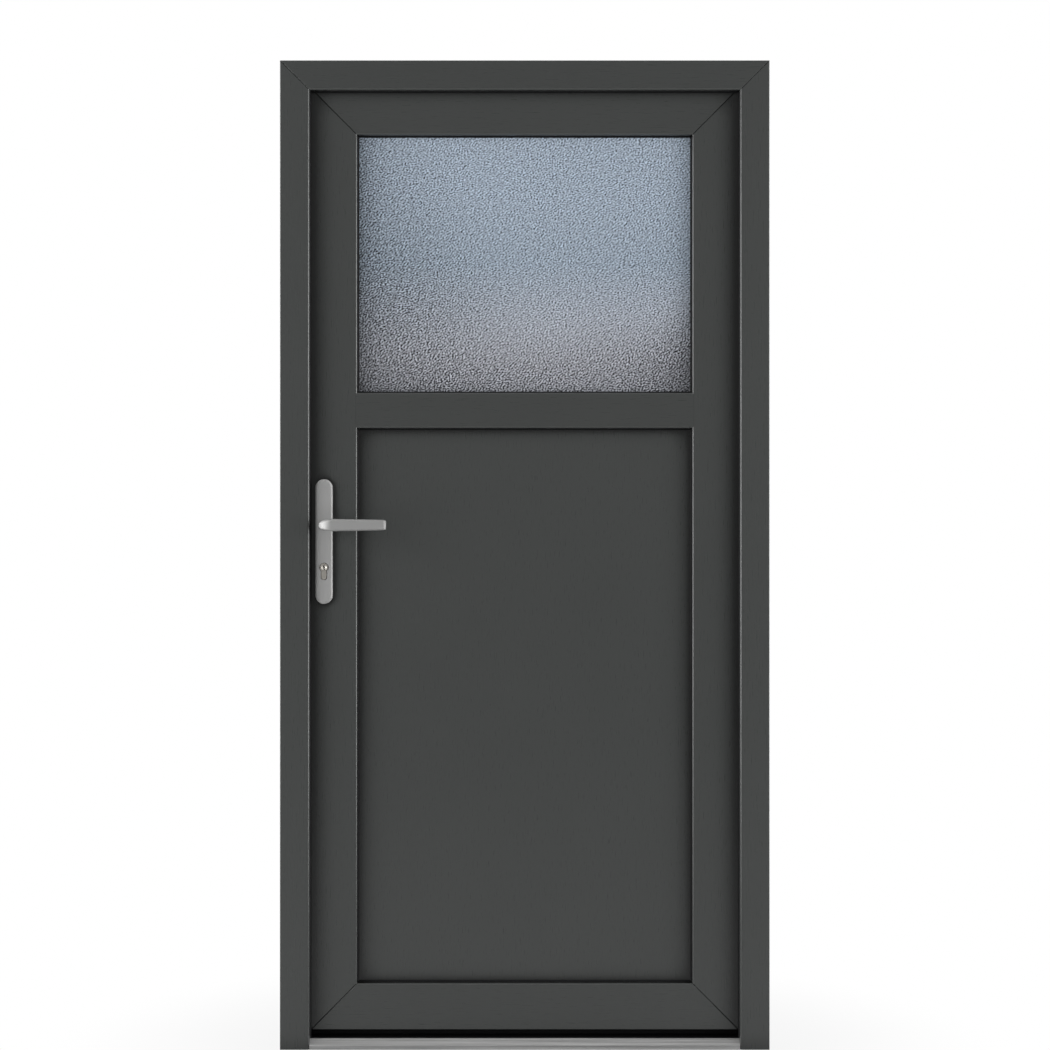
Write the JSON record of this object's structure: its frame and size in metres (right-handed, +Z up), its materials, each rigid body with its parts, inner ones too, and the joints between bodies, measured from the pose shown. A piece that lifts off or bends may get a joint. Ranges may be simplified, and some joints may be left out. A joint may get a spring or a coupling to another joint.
{
  "type": "side entrance door",
  "caption": "Inward-opening side entrance door in a mitred frame, with a patterned glass light above a plain infill panel, lever handles on long plates and a flat threshold.",
  "frame": {"origin": "centre of the threshold's underside, at the middle of the frame's depth", "axes": "+X to the right seen from outside, +Y from outside to inside, +Z up"},
  "size_m": [0.98, 0.1912, 1.98],
  "materials": {
    "frame_plastic": "satin foil",
    "leaf_plastic": "satin foil",
    "panel_skin": "satin foil",
    "patterned_glass": "structured",
    "clear_glass": "clear",
    "spacer_metal": "mill",
    "seal_rubber": "matt",
    "threshold_metal": "satin anodised",
    "insert_plastic": "matt",
    "handle_metal": "satin anodised",
    "cylinder_metal": "matt nickel",
    "lock_steel": "satin",
    "hinge_metal": "powder coat"
  },
  "bodies": {
    "frame": {"frame_left_jamb": "frame_plastic", "frame_right_jamb": "frame_plastic", "frame_head": "frame_plastic", "threshold": "threshold_metal", "threshold_insert": "insert_plastic", "frame_seal": "seal_rubber", "strike_plate": "lock_steel", "hinge_top_frame_wing": "hinge_metal", "hinge_middle_frame_wing": "hinge_metal", "hinge_bottom_frame_wing": "hinge_metal"},
    "leaf": {"lock_stile": "leaf_plastic", "hinge_stile": "leaf_plastic", "top_rail": "leaf_plastic", "bottom_rail": "leaf_plastic", "mid_rail": "leaf_plastic", "glass_bead_left": "leaf_plastic", "glass_bead_right": "leaf_plastic", "glass_bead_top": "leaf_plastic", "glass_bead_bottom": "leaf_plastic", "panel_bead_left": "leaf_plastic", "panel_bead_right": "leaf_plastic", "panel_bead_top": "leaf_plastic", "panel_bead_bottom": "leaf_plastic", "infill_panel": "panel_skin", "glass_outer_pane": "patterned_glass", "glass_inner_pane": "clear_glass", "glass_spacer": "spacer_metal", "overlap_seal": "seal_rubber", "bottom_seal": "seal_rubber", "glass_outer_gasket": "seal_rubber", "glass_inner_gasket": "seal_rubber", "panel_outer_gasket": "seal_rubber", "panel_inner_gasket": "seal_rubber", "outer_handle_plate": "handle_metal", "inner_handle_plate": "handle_metal", "lock_cylinder": "cylinder_metal", "inner_plug": "cylinder_metal", "lock_faceplate": "lock_steel", "latch_bolt": "lock_steel", "dead_bolt": "lock_steel", "hinge_top_leaf_wing": "hinge_metal", "hinge_middle_leaf_wing": "hinge_metal", "hinge_bottom_leaf_wing": "hinge_metal"},
    "lever": {"outer_lever": "handle_metal", "inner_lever": "handle_metal", "spindle": "lock_steel"},
    "plug": {"key_plug": "cylinder_metal"}
  },
  "joints": [
    {"name": "leaf_swing", "type": "hinge", "parent": "frame", "child": "leaf", "pos_m": [0.473, 0.053, 0.99], "axis": [0, 0, -1], "range_deg": [0, 110]},
    {"name": "lever_turn", "type": "hinge", "parent": "leaf", "child": "lever", "pos_m": [-0.403, 0.023, 1.05], "axis": [0, 1, 0], "range_deg": [0, 40], "stiffness_Nm_per_rad": 2.1, "springref_deg": -26.93},
    {"name": "plug_turn", "type": "hinge", "parent": "leaf", "child": "plug", "pos_m": [-0.403, -0.023, 0.965], "axis": [0, 1, 0], "continuous": true}
  ]
}
